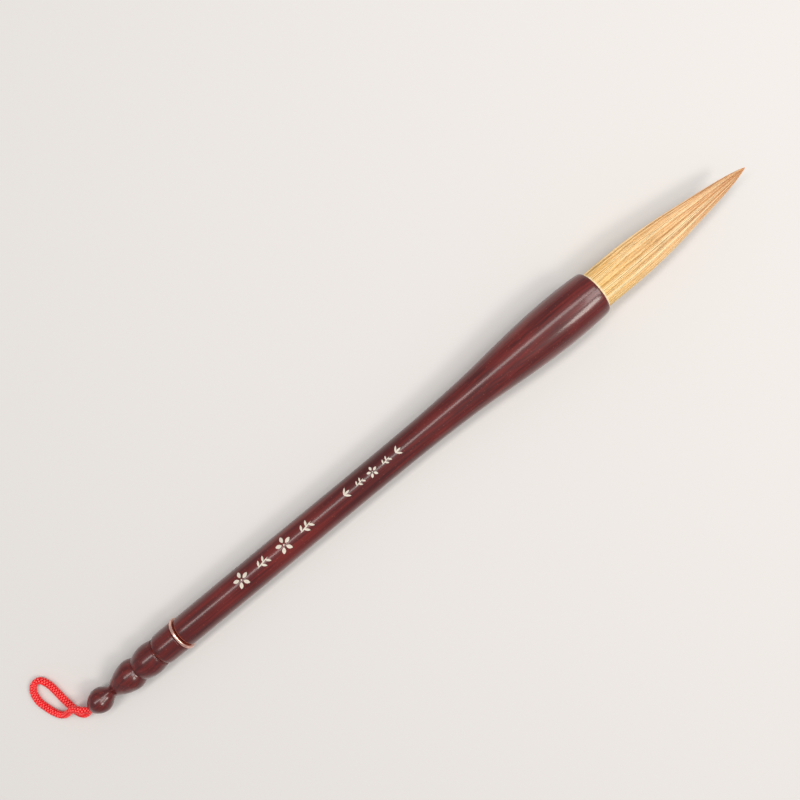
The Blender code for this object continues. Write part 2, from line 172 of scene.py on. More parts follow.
def braidTree():
    tree = bpy.data.node_groups.new("round braid", "GeometryNodeTree")
    face = tree.interface
    face.new_socket("Path", in_out="INPUT", socket_type="NodeSocketGeometry")
    for name in ("Lead", "Layer Radius", "Strand Radius", "Weave Depth", "Core Radius", "Step"):
        face.new_socket(name, in_out="INPUT", socket_type="NodeSocketFloat")
    for name in ("Bundles", "Sides", "Seed"):
        face.new_socket(name, in_out="INPUT", socket_type="NodeSocketInt")
    face.new_socket("Material", in_out="INPUT", socket_type="NodeSocketMaterial")
    face.new_socket("Cord", in_out="OUTPUT", socket_type="NodeSocketGeometry")
    given = addNode(tree, "NodeGroupInput").outputs
    calc, vector = "ShaderNodeMath", "ShaderNodeVectorMath"
    path = addNode(tree, "GeometryNodeResampleCurve", {"mode": "LENGTH"},
                   links={"Curve": given["Path"], "Length": given["Step"]}).outputs[0]
    squeeze = addNode(tree, "GeometryNodeInputRadius").outputs[0]
    both = addNode(tree, calc, {"operation": "MULTIPLY"}, {1: 2}, {0: given["Bundles"]}).outputs[0]
    copies = addNode(tree, "GeometryNodeDuplicateElements", {"domain": "SPLINE"},
                     links={"Geometry": path, "Amount": both})
    index = copies.outputs["Duplicate Index"]
    # half of the strands turn one way and half the other
    lastForward = addNode(tree, calc, {"operation": "SUBTRACT"}, {1: 0.5}, {0: given["Bundles"]}).outputs[0]
    backward = addNode(tree, calc, {"operation": "GREATER_THAN"}, links={0: index, 1: lastForward}).outputs[0]
    way = addNode(tree, calc, {"operation": "MULTIPLY_ADD"}, {1: -2, 2: 1}, {0: backward}).outputs[0]
    length = addNode(tree, "GeometryNodeSplineParameter").outputs["Length"]
    turns = addNode(tree, calc, {"operation": "DIVIDE"}, links={0: length, 1: given["Lead"]}).outputs[0]
    phase = addNode(tree, calc, {"operation": "DIVIDE"}, links={0: index, 1: given["Bundles"]}).outputs[0]
    turned = addNode(tree, calc, {"operation": "MULTIPLY_ADD"}, links={0: turns, 1: way, 2: phase})
    angle = addNode(tree, calc, {"operation": "MULTIPLY"}, {1: 2 * math.pi}, {0: turned.outputs[0]})
    # over one, under one: the two ways swap places at each crossing
    beat = addNode(tree, calc, {"operation": "MULTIPLY"}, {1: 2 * math.pi}, {0: turns}).outputs[0]
    beats = addNode(tree, calc, {"operation": "MULTIPLY"}, links={0: beat, 1: given["Bundles"]})
    swing = addNode(tree, calc, {"operation": "COSINE"}, links={0: beats.outputs[0]}).outputs[0]
    swung = addNode(tree, calc, {"operation": "MULTIPLY"}, links={0: swing, 1: way}).outputs[0]
    depth = addNode(tree, calc, {"operation": "MULTIPLY_ADD"},
                    links={0: swung, 1: given["Weave Depth"], 2: given["Layer Radius"]}).outputs[0]
    reach = addNode(tree, calc, {"operation": "MULTIPLY"}, links={0: depth, 1: squeeze}).outputs[0]
    normal = addNode(tree, "GeometryNodeInputNormal").outputs[0]
    tangent = addNode(tree, "GeometryNodeInputTangent").outputs[0]
    side = addNode(tree, vector, {"operation": "CROSS_PRODUCT"}, links={0: tangent, 1: normal})
    cosine = addNode(tree, calc, {"operation": "COSINE"}, links={0: angle.outputs[0]}).outputs[0]
    sine = addNode(tree, calc, {"operation": "SINE"}, links={0: angle.outputs[0]}).outputs[0]
    outward = addNode(tree, vector, {"operation": "SCALE"}, links={0: normal, "Scale": cosine})
    sideward = addNode(tree, vector, {"operation": "SCALE"},
                       links={0: side.outputs[0], "Scale": sine})
    around = addNode(tree, vector, {"operation": "ADD"},
                     links={0: outward.outputs[0], 1: sideward.outputs[0]})
    offset = addNode(tree, vector, {"operation": "SCALE"},
                     links={0: around.outputs[0], "Scale": reach})
    toned = addNode(tree, "FunctionNodeRandomValue", {"data_type": "FLOAT"},
                    links={"ID": index, "Seed": given["Seed"]})
    tone = addNode(tree, "GeometryNodeStoreNamedAttribute", {"data_type": "FLOAT", "domain": "POINT"},
                   {"Name": "strandTone"}, {"Geometry": copies.outputs[0], "Value": toned.outputs[1]})
    hump = addNode(tree, "GeometryNodeStoreNamedAttribute", {"data_type": "FLOAT", "domain": "POINT"},
                   {"Name": "strandHump"}, {"Geometry": tone.outputs[0], "Value": swung})
    moved = addNode(tree, "GeometryNodeSetPosition",
                    links={"Geometry": hump.outputs[0], "Offset": offset.outputs[0]})
    thick = addNode(tree, calc, {"operation": "MULTIPLY"}, links={0: squeeze, 1: given["Strand Radius"]})
    # a tube's thickness comes from the radius on its points, over a ring of radius 1
    sized = addNode(tree, "GeometryNodeSetCurveRadius",
                    links={"Curve": moved.outputs[0], "Radius": thick.outputs[0]})
    ring = addNode(tree, "GeometryNodeCurvePrimitiveCircle", values={"Radius": 1.0},
                   links={"Resolution": given["Sides"]})
    strands = addNode(tree, "GeometryNodeCurveToMesh", values={"Fill Caps": True},
                      links={"Curve": sized.outputs[0], "Profile Curve": ring.outputs[0], "Scale": squeeze})
    coreThick = addNode(tree, calc, {"operation": "MULTIPLY"},
                        links={0: squeeze, 1: given["Core Radius"]}).outputs[0]
    coreSized = addNode(tree, "GeometryNodeSetCurveRadius", links={"Curve": path, "Radius": coreThick})
    coreRing = addNode(tree, "GeometryNodeCurvePrimitiveCircle", values={"Radius": 1.0, "Resolution": 10})
    core = addNode(tree, "GeometryNodeCurveToMesh", values={"Fill Caps": True},
                   links={"Curve": coreSized.outputs[0], "Profile Curve": coreRing.outputs[0],
                          "Scale": squeeze})
    joined = addNode(tree, "GeometryNodeJoinGeometry")
    tree.links.new(core.outputs[0], joined.inputs[0])
    tree.links.new(strands.outputs[0], joined.inputs[0])
    smooth = addNode(tree, "GeometryNodeSetShadeSmooth", links={"Geometry": joined.outputs[0]})
    real = addNode(tree, "GeometryNodeRealizeInstances", links={"Geometry": smooth.outputs[0]})
    painted = addNode(tree, "GeometryNodeSetMaterial",
                      links={"Geometry": real.outputs[0], "Material": given["Material"]})
    addNode(tree, "NodeGroupOutput", links={"Cord": painted.outputs[0]})
    return tree


def runTree(name, source, tree, values):
    # gives the source object the tree, sets its inputs by identifier, and keeps the result as a plain mesh
    modifier = source.modifiers.new(name, "NODES")
    modifier.node_group = tree
    sockets = {item.name: item.identifier for item in tree.interface.items_tree
               if item.item_type == "SOCKET" and item.in_out == "INPUT"}
    for key, value in values.items():
        modifier[sockets[key]] = value
    bpy.context.view_layer.update()
    mesh = bpy.data.meshes.new_from_object(source.evaluated_get(bpy.context.evaluated_depsgraph_get()))
    bpy.data.objects.remove(source, do_unlink=True)
    mesh.name = name
    piece = bpy.data.objects.new(name, mesh)
    scene.collection.objects.link(piece)
    return piece


def braidedPolyester():
    # Filament gives a soft shine. The humps are bright red with a pale painted highlight on their crowns, and
    # painted shade makes the gaps between strands dark red.
    material, tree, shader = newMaterial("polyester cord, braided")
    tone = addNode(tree, "ShaderNodeAttribute", {"attribute_name": "strandTone"}).outputs["Fac"]
    hump = addNode(tree, "ShaderNodeAttribute", {"attribute_name": "strandHump"}).outputs["Fac"]
    place = addNode(tree, "ShaderNodeTexCoord").outputs["Object"]
    # filaments a tenth of a millimetre apart, drawn four times as coarse so that they show
    filament = addNode(tree, "ShaderNodeTexNoise", values={"Scale": cord["filaments"], "Detail": 2},
                       links={"Vector": place})
    # painted light and shade: bright red where a strand rides over, painted shade where it dips under
    lit = addNode(tree, "ShaderNodeMapRange", values={"From Min": -0.5, "From Max": 0.45},
                  links={"Value": hump})
    base = addNode(tree, "ShaderNodeMix", {"data_type": "RGBA"},
                   {6: linearColour(cord["shade"]), 7: linearColour(cord["colour"])}, {0: lit.outputs[0]})
    # a pale painted highlight on the crown of each hump, broken up by the filaments
    spot = addNode(tree, "ShaderNodeMath", {"operation": "MULTIPLY_ADD"}, {1: 0.3},
                   {0: filament.outputs[0], 2: hump})
    bright = addNode(tree, "ShaderNodeMapRange", values={"From Min": 0.82, "From Max": 1.12, "To Max": 0.8},
                     links={"Value": spot.outputs[0]})
    paintedGlint = addNode(tree, "ShaderNodeMix", {"data_type": "RGBA"}, {7: linearColour(cord["paintedGlint"])},
                    {0: bright.outputs[0], 6: base.outputs[2]})
    shift = addNode(tree, "ShaderNodeMapRange", values={"To Min": 0.88, "To Max": 1.08},
                    links={"Value": tone})
    final = addNode(tree, "ShaderNodeHueSaturation",
                    links={"Value": shift.outputs[0], "Color": paintedGlint.outputs[2]})
    rough = addNode(tree, "ShaderNodeBump", values={"Strength": 0.35, "Distance": 0.00008},
                    links={"Height": filament.outputs[0]})
    tree.links.new(final.outputs[0], shader.inputs["Base Color"])
    tree.links.new(rough.outputs[0], shader.inputs["Normal"])
    shader.inputs["Roughness"].default_value = cord["roughness"]
    shader.inputs["Sheen Weight"].default_value = 0.1
    shader.inputs["Sheen Roughness"].default_value = 0.4
    shader.inputs["Sheen Tint"].default_value = linearColour("#ff9a90")
    return material


def makeCord():
    # one end lies above the other in the hole
    inside = [onBrush(along, 0, cord["offMiddle"]) / mm for along in (cord["inHole"], cord["inHole"] / 2)]
    back = [onBrush(along, 0, -cord["offMiddle"]) / mm for along in (cord["inHole"] / 2, cord["inHole"])]
    line, length = smoothLine([*inside, *cordRoute, *back], cord["pathStep"])
    data = bpy.data.curves.new("cordLine", "CURVE")
    data.dimensions = "3D"
    spline = data.splines.new("POLY")
    spline.points.add(len(line) - 1)
    for point, place in zip(spline.points, line):
        point.co = (*(place * mm), 1.0)
        # the two ends are squeezed to share the knob's hole
        out = min(1.0, max(0.0, (knobEnd.x / mm - place.x) / cord["opensOver"]))
        point.radius = cord["squeeze"] + (1 - cord["squeeze"]) * out
    source = bpy.data.objects.new("cordLine", data)
    scene.collection.objects.link(source)
    piece = runTree("hangingCord", source, braidTree(), {
        "Lead": cord["lead"] * mm, "Layer Radius": cord["layer"] * mm, "Strand Radius": cord["strand"] * mm,
        "Weave Depth": cord["weave"] * mm, "Core Radius": cord["core"] * mm, "Step": cord["step"] * mm,
        "Bundles": cord["bundles"], "Sides": cord["sides"], "Seed": cord["seed"],
        "Material": braidedPolyester(),
    })
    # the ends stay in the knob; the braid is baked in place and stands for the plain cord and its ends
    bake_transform(piece)
    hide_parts("hanging_cord", "cord_ends")


makeCord()
print("cord braided")


cornerAngle = 38  # degrees between two faces, past which their edge is a sharp corner


def turnedPiece(name, outline, material, sides=128):
    # rings of the outline's (along, radius) points in mm, with the outer side running from tip to knob.
    # The UV map holds along/100 mm and the share of a turn, with its seam underneath.
    vertices, rings = [], []
    for along, radius in outline:
        if radius == 0:
            rings.append([len(vertices)] * sides)
            vertices.append(onBrush(along))
            continue
        rings.append(list(range(len(vertices), len(vertices) + sides)))
        for k in range(sides):
            turn = 2 * math.pi * k / sides
            vertices.append(onBrush(along, radius * math.sin(turn), -radius * math.cos(turn)))
    faces, places = [], []
    pairs = list(zip(range(len(outline) - 1), range(1, len(outline))))
    if outline[0][1] > 0:  # with no point on the axis, the outline closes on itself
        pairs.append((len(outline) - 1, 0))
    for i, j in pairs:
        for k in range(sides):
            n = (k + 1) % sides
            corners = [(rings[i][k], i, k), (rings[i][n], i, k + 1),
                       (rings[j][n], j, k + 1), (rings[j][k], j, k)]
            loop = []
            for corner in reversed(corners):
                if corner[0] not in [c[0] for c in loop]:
                    loop.append(corner)
            if len(loop) > 2:
                faces.append([c[0] for c in loop])
                places += [(outline[c[1]][0] / 100, c[2] / sides) for c in loop]
    mesh = bpy.data.meshes.new(name)
    mesh.from_pydata(vertices, [], faces)
    uv = mesh.uv_layers.new(name="UVMap")
    uv.data.foreach_set("uv", [value for place in places for value in place])
    mesh.shade_smooth()
    mesh.set_sharp_from_angle(angle=math.radians(cornerAngle))
    mesh.materials.append(material)
    piece = bpy.data.objects.new(name, mesh)
    scene.collection.objects.link(piece)
    return piece


def easedOutline(*runs, steps=5):
    # each run is a smooth curve through its points, and the runs meet at corners
    outline = []
    for run in runs:
        points = [Vector(p) for p in run]
        if len(points) > 2:
            points = curveThrough(points, steps)
        # a point within a hundredth of a millimetre of the last one is the same point
        outline += [(p.x, max(p.y, 0.0)) for p in points
                    if not outline or (p - Vector(outline[-1])).length > 0.01]
    return outline


# Handle: rosewood, turned and lacquered.
rosewood = {
    "deep": "#340607", "middle": "#4a0b0a", "warm": "#671711", "bare": "#a8563f", "dust": "#a0584a",
    "roughness": 0.36, "specular": 0.3, "coat": 0.75, "coatRoughness": 0.15, "coatIndex": 1.42,
    "grain": 0.9,  # mm between grain lines
    "grainAlong": 25, "clouds": 45, "pores": 900,  # a metre: grain lines' breaks, tone patches and pores
    "bareEdges": [31.15, 41.6],  # mm from the knob's end, where the lacquer is thin on a cut edge
    "bareWide": [0.1, 0.22],  # mm from such an edge: wholly bare, and fully covered
}


def lacqueredRosewood():
    # Dark red-brown wood whose fine grain shows faintly, with a clear shine over a duller, broader one.
    material, tree, shader = newMaterial("rosewood, turned and lacquered")
    place = addNode(tree, "ShaderNodeTexCoord")
    # grain lines run along the brush, so they are stretched forty times that way
    acrossGrain = 1000 / rosewood["grain"]
    stretched = addNode(tree, "ShaderNodeMapping",
                        values={"Scale": (rosewood["grainAlong"], acrossGrain, acrossGrain)},
                        links={"Vector": place.outputs["Object"]})
    grain = addNode(tree, "ShaderNodeTexNoise",
                    values={"Scale": 1.0, "Detail": 4, "Roughness": 0.6, "Distortion": 0.4},
                    links={"Vector": stretched.outputs[0]})
    broad = addNode(tree, "ShaderNodeTexNoise", values={"Scale": rosewood["clouds"], "Detail": 2},
                    links={"Vector": place.outputs["Object"]})
    both = addNode(tree, "ShaderNodeMath", {"operation": "MULTIPLY_ADD"}, {1: 0.45},
                   {0: broad.outputs[0], 2: grain.outputs[0]})
    ramp = addNode(tree, "ShaderNodeValToRGB", links={"Fac": both.outputs[0]},
                   stops=[(0.45, rosewood["deep"]), (0.68, rosewood["middle"]), (0.95, rosewood["warm"])])
    # pores and dust under the coat, a fifth of a millimetre across
    dust = addNode(tree, "ShaderNodeTexVoronoi", values={"Scale": rosewood["pores"]},
                   links={"Vector": place.outputs["Object"]})
    speck = addNode(tree, "ShaderNodeMapRange", values={"From Min": 0.15, "From Max": 0.07, "To Max": 0.5},
                    links={"Value": dust.outputs["Distance"]})
    dusted = addNode(tree, "ShaderNodeMix", {"data_type": "RGBA"}, {7: linearColour(rosewood["dust"])},
                     {0: speck.outputs[0], 6: ramp.outputs[0]})
    along = addNode(tree, "ShaderNodeSeparateXYZ",
                    links={0: addNode(tree, "ShaderNodeUVMap").outputs[0]}).outputs[0]
    colour = dusted.outputs[2]
    bare, covered = (wide / 100 for wide in rosewood["bareWide"])
    for edge in rosewood["bareEdges"]:
        apart = addNode(tree, "ShaderNodeMath", {"operation": "SUBTRACT"}, {1: edge / 100}, {0: along})
        far = addNode(tree, "ShaderNodeMath", {"operation": "ABSOLUTE"}, links={0: apart.outputs[0]})
        near = addNode(tree, "ShaderNodeMapRange", values={"From Min": covered, "From Max": bare},
                       links={"Value": far.outputs[0]})
        mixed = addNode(tree, "ShaderNodeMix", {"data_type": "RGBA"}, {7: linearColour(rosewood["bare"])},
                        {0: near.outputs[0], 6: colour})
        colour = mixed.outputs[2]
    tree.links.new(colour, shader.inputs["Base Color"])
    # the lacquer sinks a little along the grain
    ripple = addNode(tree, "ShaderNodeBump", values={"Strength": 0.12, "Distance": 0.00006},
                     links={"Height": grain.outputs[0]})
    tree.links.new(ripple.outputs[0], shader.inputs["Normal"])
    uneven = addNode(tree, "ShaderNodeMapRange",
                     values={"To Min": rosewood["roughness"] - 0.05, "To Max": rosewood["roughness"] + 0.08},
                     links={"Value": broad.outputs[0]})
    tree.links.new(uneven.outputs[0], shader.inputs["Roughness"])
    shader.inputs["Coat Weight"].default_value = rosewood["coat"]
    shader.inputs["Coat Roughness"].default_value = rosewood["coatRoughness"]
    shader.inputs["Coat IOR"].default_value = rosewood["coatIndex"]
    shader.inputs["Specular IOR Level"].default_value = rosewood["specular"]
    return material


# (mm from the knob's end, radius in mm)
shaftOutline = easedOutline(
    [(204.6, 0), (205.3, 6.6)], [(205.3, 6.6), (205.7, 7.2)], [(205.7, 7.2), (223.5, 7.2)],
    [(223.5, 7.2), (223.7, 7.4)], [(223.7, 7.4), (223.7, 7.85)],
    [(223.7, 7.85), (223.55, 8.08), (223.1, 8.29), (222.2, 8.45), (220.4, 8.6), (216.4, 8.8), (209.6, 8.9),
     (202.8, 8.76), (196.0, 8.42), (189.2, 7.95), (182.4, 7.37), (175.6, 6.78), (168.8, 6.33), (162.0, 6.03),
     (155.2, 5.78), (146.0, 5.56), (130.0, 5.42), (110.0, 5.40), (85.0, 5.50), (60.0, 5.53), (42.1, 5.53)],
    [(42.1, 5.53), (41.75, 5.46), (41.5, 5.25)], [(41.5, 5.25), (41.4, 3.3)], [(41.4, 3.3), (55.3, 3.3)],
    [(55.3, 3.3), (56.2, 0)])
tailOutline = easedOutline(
    [(55.0, 0), (55.0, 2.6)], [(55.0, 2.6), (54.6, 3.0)], [(54.6, 3.0), (39.7, 3.0)],
    [(39.7, 3.0), (39.7, 5.4)],
    [(39.7, 5.4), (39.55, 5.58), (39.2, 5.68), (37.5, 5.7), (34.5, 5.68), (32.6, 5.6), (31.8, 5.46),
     (31.2, 5.12)],
    [(31.2, 5.12), (30.95, 4.72), (30.5, 4.62), (30.25, 4.78)],
    [(30.25, 4.78), (30.3, 5.0), (29.9, 5.18), (29.0, 5.42), (27.8, 5.68), (26.4, 5.8), (25.0, 5.68),
     (23.4, 5.3), (22.2, 4.85), (21.45, 4.5), (21.2, 4.25)],
    [(21.2, 4.25), (20.9, 4.42), (20.3, 4.82), (19.4, 5.22), (18.2, 5.5), (17.0, 5.42), (15.6, 5.1),
     (14.2, 4.7), (12.9, 4.15), (11.6, 3.5), (10.5, 2.85), (9.6, 2.45), (8.7, 2.33), (7.8, 2.6), (6.8, 3.25),
     (5.8, 3.95),
     (4.9, 4.35), (3.9, 4.45), (2.8, 4.25), (1.8, 3.82), (1.0, 3.3), (0.5, 2.9), (0.3, 2.6), (0.3, 2.3),
     (0.6, 2.1)],
    [(0.6, 2.1), (6.8, 2.1)], [(6.8, 2.1), (7.5, 0)])
handleWood = lacqueredRosewood()
keep(turnedPiece("rosewoodShaft", shaftOutline, handleWood), "handle", "dark_red_lacquered_wood", "shaft")
keep(turnedPiece("rosewoodTail", tailOutline, handleWood), "handle", "dark_red_lacquered_wood", "tail_finial")
print("handle turned")


# Ring: copper, turned and polished.
copper = {
    "colour": "#f0c4b6", "tarnish": "#c08574", "roughness": 0.32,
    "line": 0.12,  # mm between lathe lines
    "patches": 500,  # a metre
}


def polishedCopper():
    # Warm pink metal with a bright soft line of light, fine lathe lines and a little brown tarnish.
    material, tree, shader = newMaterial("copper, turned and polished")
    along = addNode(tree, "ShaderNodeSeparateXYZ",
                    links={0: addNode(tree, "ShaderNodeUVMap").outputs[0]}).outputs[0]
    lines = addNode(tree, "ShaderNodeTexNoise", {"noise_dimensions": "1D"},
                    {"Scale": 100 / copper["line"], "Detail": 2}, {"W": along})
    place = addNode(tree, "ShaderNodeTexCoord").outputs["Object"]
    patch = addNode(tree, "ShaderNodeTexNoise", values={"Scale": copper["patches"], "Detail": 3},
                    links={"Vector": place})
    worn = addNode(tree, "ShaderNodeMapRange", values={"From Min": 0.45, "From Max": 0.75, "To Max": 0.6},
                   links={"Value": patch.outputs[0]})
    colour = addNode(tree, "ShaderNodeMix", {"data_type": "RGBA"},
                     {6: linearColour(copper["colour"]), 7: linearColour(copper["tarnish"])},
                     {0: worn.outputs[0]})
    tree.links.new(colour.outputs[2], shader.inputs["Base Color"])
    cut = addNode(tree, "ShaderNodeBump", values={"Strength": 0.2, "Distance": 0.00002},
                  links={"Height": lines.outputs[0]})
    tree.links.new(cut.outputs[0], shader.inputs["Normal"])
    shader.inputs["Metallic"].default_value = 1.0
    shader.inputs["Roughness"].default_value = copper["roughness"]
    return material


ringOutline = easedOutline(
    [(41.05, 3.3), (41.05, 5.75)],
    [(41.05, 5.75), (41.0, 5.95), (40.8, 6.08), (40.55, 6.12), (40.3, 6.08), (40.1, 5.95), (40.05, 5.75)],
    [(40.05, 5.75), (40.05, 3.3)], [(40.05, 3.3), (41.05, 3.3)])[:-1]
keep(turnedPiece("copperRing", ringOutline, polishedCopper()), "handle", "copper_ring", "collar_ring")
print("ring turned")


# Hair: weasel hair, dry and combed to a point.
hair = {
    "strands": 2400, "seed": 11, "sides": 3,
    "strandRadius": 0.075,  # mm, about twice a real hair's, so that single strands show
    "taper": 22.0, "endShare": 0.12,  # mm over which a strand narrows, and its share of full thickness there
    "tip": 289.8, "cutBack": 26.0,  # mm from the knob's end, and mm that the shortest strand stops before it
    "fewShort": 2.2,  # the higher it is, the fewer strands stop early
    "shortest": 0.4,  # mm, under which a strand is left out of a stretch
    "outermost": 0.995, "layer": 0.10, "underlayer": 0.93,  # shares of the tuft's radius
    # clusters round the tuft, how far a strand is drawn to its cluster's middle, and how deep its edges sink
    "clusters": 150, "clumping": 0.45, "clusterRound": 0.16,
    "drawnFrom": 224.0, "drawnTo": 262.0,  # mm along, between which the strands are drawn into clusters
    "wander": 0.012, "wanderRate": 60, "laneApart": 0.37,  # share of a turn, waves a metre, strands apart
    "clusterTone": 0.3,  # share of a strand's tone that its cluster gives
    "mouthLine": (0.2295, 0.233),  # shares of the tuft's length, between which the pale line fades
    "root": "#f4cb7c", "belly": "#f2c685", "waist": "#eab984", "point": "#d48e58",
    "dark": "#a87636", "light": "#fff2c6", "mouth": "#fff0c8",
    "roughness": 0.42,
}
# (mm from the knob's end, radius in mm)
tuftOutline = [
    (205.0, 6.65), (219.0, 6.72), (223.7, 6.9), (231.0, 7.0), (239.0, 6.97), (243.0, 6.84), (247.2, 6.6),
    (251.0, 6.27), (255.3, 5.88), (259.3, 5.4), (263.4, 4.85), (267.5, 4.3), (271.5, 3.75), (275.6, 3.18),
    (279.7, 2.55), (283.8, 1.8), (287.1, 1.0), (289.0, 0.45), (289.8, 0.12),
]
tuftStart, tuftLength = tuftOutline[0][0], tuftOutline[-1][0] - tuftOutline[0][0]
# Stretches of the tuft: where each starts and ends, its two bodies, where its bend starts and ends, the
# segments of each strand, and the plain solids that it stands for.
hairStretches = [
    ("hairBelly", 210.2, 237.6, "handle", "hair_belly", 224.2, 235.2, 9,
     ["outer_hair_root", "padding_hair_root", "core_hair_root",
      "outer_hair_belly", "padding_hair_belly", "core_hair_belly"]),
    ("hairWaist", 237.6, 255.5, "hair_belly", "hair_waist", 240.0, 254.0, 8,
     ["outer_hair_waist", "padding_hair_waist", "core_hair_waist"]),
    ("hairPoint", 255.5, 289.8, "hair_waist", "hair_point", 257.0, 271.0, 12,
     ["outer_hair_point", "core_hair_point"]),
]


def hairTree():
    tree = bpy.data.node_groups.new("combed hair", "GeometryNodeTree")
    face = tree.interface
    face.new_socket("Geometry", in_out="INPUT", socket_type="NodeSocketGeometry")
    for name in ("Strands", "Seed", "Segments", "Sides", "Clusters"):
        face.new_socket(name, in_out="INPUT", socket_type="NodeSocketInt")
    for name in ("From", "To", "Tip", "Cut Back", "Strand Radius", "Layer", "Clumping", "Wander"):
        face.new_socket(name, in_out="INPUT", socket_type="NodeSocketFloat")
    face.new_socket("Material", in_out="INPUT", socket_type="NodeSocketMaterial")
    face.new_socket("Hair", in_out="OUTPUT", socket_type="NodeSocketGeometry")
    given = addNode(tree, "NodeGroupInput").outputs
    calc, vector = "ShaderNodeMath", "ShaderNodeVectorMath"
    points = addNode(tree, calc, {"operation": "ADD"}, {1: 1}, {0: given["Segments"]}).outputs[0]
    line = addNode(tree, "GeometryNodeCurvePrimitiveLine", values={"End": (1, 0, 0)}).outputs[0]
    split = addNode(tree, "GeometryNodeResampleCurve", links={"Curve": line, "Count": points}).outputs[0]
    copies = addNode(tree, "GeometryNodeDuplicateElements", {"domain": "SPLINE"},
                     links={"Geometry": split, "Amount": given["Strands"]})
    index = copies.outputs["Duplicate Index"]
    # five numbers by chance for each strand: its angle, end, depth, tone and thickness
    seedStep, chance = 17, []
    for k in range(5):
        seed = addNode(tree, calc, {"operation": "ADD"}, {1: seedStep * k}, {0: given["Seed"]}).outputs[0]
        chance.append(addNode(tree, "FunctionNodeRandomValue", {"data_type": "FLOAT"},
                              links={"ID": index, "Seed": seed}).outputs[1])
    # a strand's own end: most reach close to the tip
    early = addNode(tree, calc, {"operation": "POWER"}, {1: hair["fewShort"]}, {0: chance[1]}).outputs[0]
    back = addNode(tree, calc, {"operation": "MULTIPLY"}, links={0: early, 1: given["Cut Back"]}).outputs[0]
    own = addNode(tree, calc, {"operation": "SUBTRACT"}, links={0: given["Tip"], 1: back}).outputs[0]
    last = addNode(tree, calc, {"operation": "MINIMUM"}, links={0: own, 1: given["To"]}).outputs[0]
    share = addNode(tree, "GeometryNodeSplineParameter").outputs["Factor"]
    span = addNode(tree, calc, {"operation": "SUBTRACT"}, links={0: last, 1: given["From"]}).outputs[0]
    along = addNode(tree, calc, {"operation": "MULTIPLY_ADD"},
                    links={0: share, 1: span, 2: given["From"]}).outputs[0]
    # the tuft's radius at this place
    at = addNode(tree, "ShaderNodeMapRange",
                 values={"From Min": tuftStart * mm, "From Max": tuftOutline[-1][0] * mm},
                 links={"Value": along})
    curve = addNode(tree, "ShaderNodeFloatCurve", links={"Value": at.outputs[0]})
    widest = 10.0  # mm, which the curve's value of 1 stands for
    shares = [((place - tuftStart) / tuftLength, radius / widest) for place, radius in tuftOutline]
    knots = curve.mapping.curves[0].points
    knots[0].location, knots[1].location = shares[0], shares[-1]
    for knot in shares[1:-1]:
        knots.new(*knot)
    curve.mapping.update()
    radius = addNode(tree, calc, {"operation": "MULTIPLY"}, {1: widest * mm},
                     {0: curve.outputs[0]}).outputs[0]
    # angle round the tuft, drawn towards the middle of its cluster further along
    turn = chance[0]
    grouped = addNode(tree, calc, {"operation": "MULTIPLY"}, links={0: turn, 1: given["Clusters"]}).outputs[0]
    nearest = addNode(tree, calc, {"operation": "ROUND"}, links={0: grouped}).outputs[0]
    middle = addNode(tree, calc, {"operation": "DIVIDE"}, links={0: nearest, 1: given["Clusters"]}).outputs[0]
    drawn = addNode(tree, calc, {"operation": "SUBTRACT"}, links={0: middle, 1: turn}).outputs[0]
    forward = addNode(tree, "ShaderNodeMapRange",
                      values={"From Min": hair["drawnFrom"] * mm, "From Max": hair["drawnTo"] * mm},
                      links={"Value": along})
    pull = addNode(tree, calc, {"operation": "MULTIPLY"},
                   links={0: forward.outputs[0], 1: given["Clumping"]}).outputs[0]
    clumped = addNode(tree, calc, {"operation": "MULTIPLY_ADD"},
                      links={0: drawn, 1: pull, 2: turn}).outputs[0]
    # a slow wander, different for each strand
    lane = addNode(tree, calc, {"operation": "MULTIPLY"}, {1: hair["laneApart"]}, {0: index}).outputs[0]
    walk = addNode(tree, "ShaderNodeCombineXYZ", links={0: along, 1: lane}).outputs[0]
    wide = addNode(tree, vector, {"operation": "MULTIPLY"}, {1: (hair["wanderRate"], 1, 1)},
                   {0: walk}).outputs[0]
    noise = addNode(tree, "ShaderNodeTexNoise", {"noise_dimensions": "2D"}, {"Scale": 1.0, "Detail": 1},
                    {"Vector": wide})
    lean = addNode(tree, calc, {"operation": "SUBTRACT"}, {1: 0.5}, {0: noise.outputs[0]}).outputs[0]
    leaning = addNode(tree, calc, {"operation": "MULTIPLY"}, links={0: lean, 1: given["Wander"]}).outputs[0]
    wandered = addNode(tree, calc, {"operation": "ADD"}, links={0: clumped, 1: leaning}).outputs[0]
    angle = addNode(tree, calc, {"operation": "MULTIPLY"}, {1: 2 * math.pi}, {0: wandered}).outputs[0]
    # how deep in the coat it lies, and a rounding over each cluster
    under = addNode(tree, calc, {"operation": "MULTIPLY"}, links={0: chance[2], 1: given["Layer"]}).outputs[0]
    edge = addNode(tree, calc, {"operation": "MULTIPLY"}, links={0: drawn, 1: given["Clusters"]}).outputs[0]
    edged = addNode(tree, calc, {"operation": "MULTIPLY"}, links={0: edge, 1: edge}).outputs[0]
    sunk = addNode(tree, calc, {"operation": "MULTIPLY"}, {1: hair["clusterRound"]}, {0: edged}).outputs[0]
    sunkForward = addNode(tree, calc, {"operation": "MULTIPLY"},
                          links={0: sunk, 1: forward.outputs[0]}).outputs[0]
    deep = addNode(tree, calc, {"operation": "ADD"}, links={0: under, 1: sunkForward}).outputs[0]
    shareOut = addNode(tree, calc, {"operation": "SUBTRACT"}, {0: hair["outermost"]}, {1: deep}).outputs[0]
    reach = addNode(tree, calc, {"operation": "MULTIPLY"}, links={0: radius, 1: shareOut}).outputs[0]
